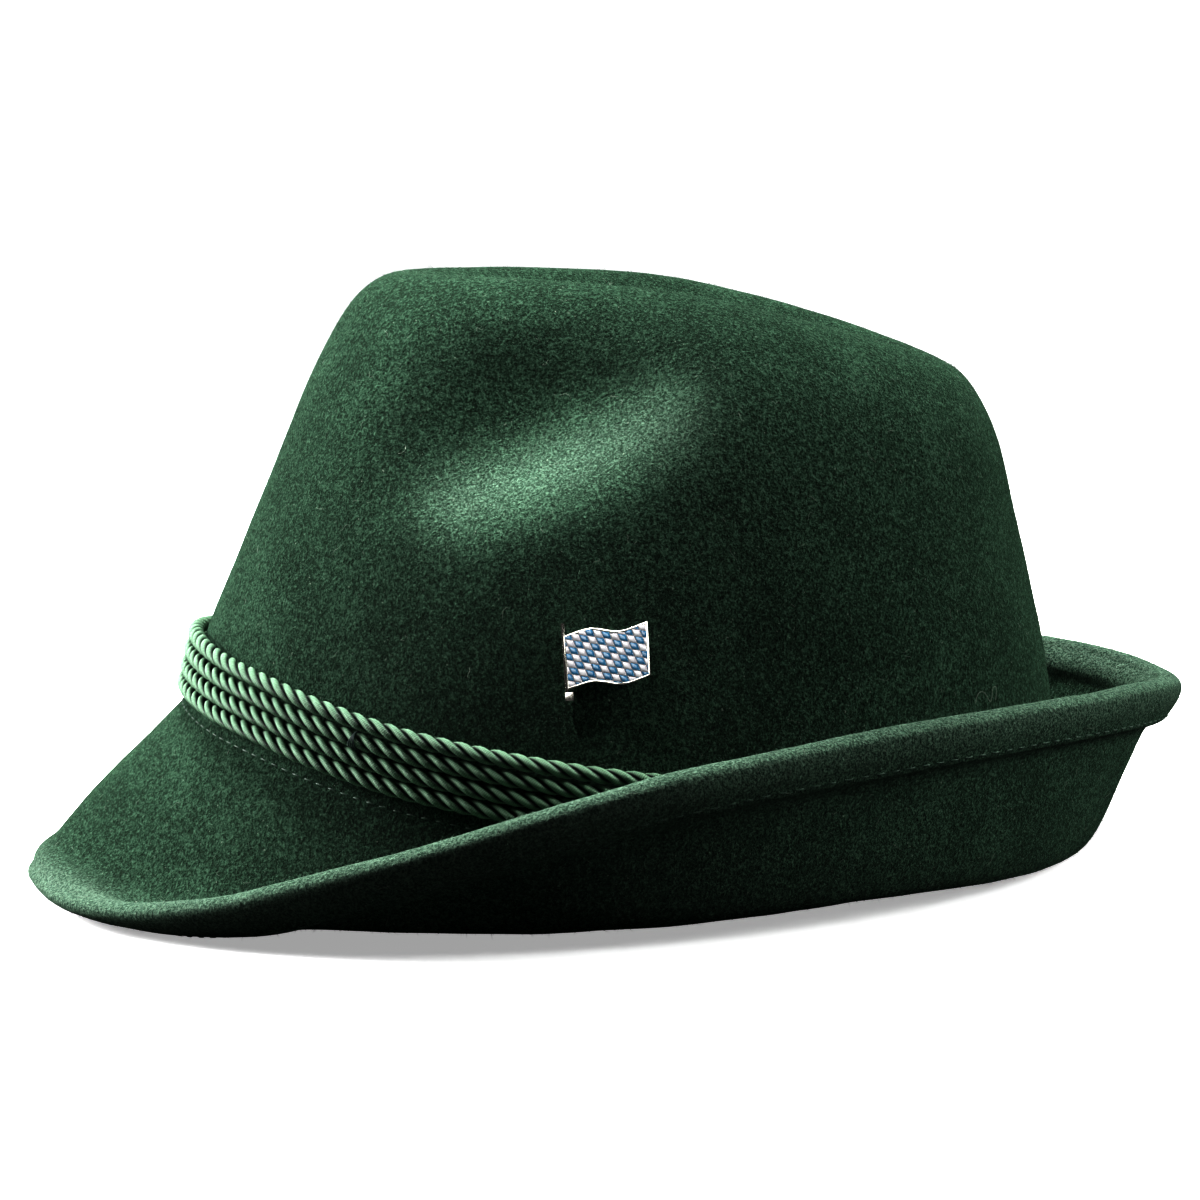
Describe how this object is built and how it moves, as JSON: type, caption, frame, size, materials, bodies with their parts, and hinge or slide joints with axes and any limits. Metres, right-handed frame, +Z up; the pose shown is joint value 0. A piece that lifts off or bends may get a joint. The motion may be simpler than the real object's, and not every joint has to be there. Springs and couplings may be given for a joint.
{
  "type": "tyrolean felt hat",
  "caption": "Green wool felt hat with a pinched, creased crown, brim turned down in front and up behind, twisted cords round the band and a small enamel flag pin.",
  "frame": {"origin": "middle of the hat's bounding box in plan, on the surface it rests on", "axes": "-Y towards the hat's front, +X towards the wearer's left where the pin is, +Z up"},
  "size_m": [0.2212, 0.2818, 0.1482],
  "materials": {
    "felt": "fuzzy wool felt, dark bottle green",
    "cord": "satin twisted cord, grey green",
    "pin_metal": "polished nickel",
    "enamel": "glossy blue and white enamel"
  },
  "bodies": {
    "root": {"felt_body": "felt", "cord_1": "cord", "cord_2": "cord", "cord_3": "cord", "cord_4": "cord", "flag_plate": "pin_metal", "flag_enamel": "enamel", "pin_clutch": "pin_metal"}
  },
  "joints": []
}
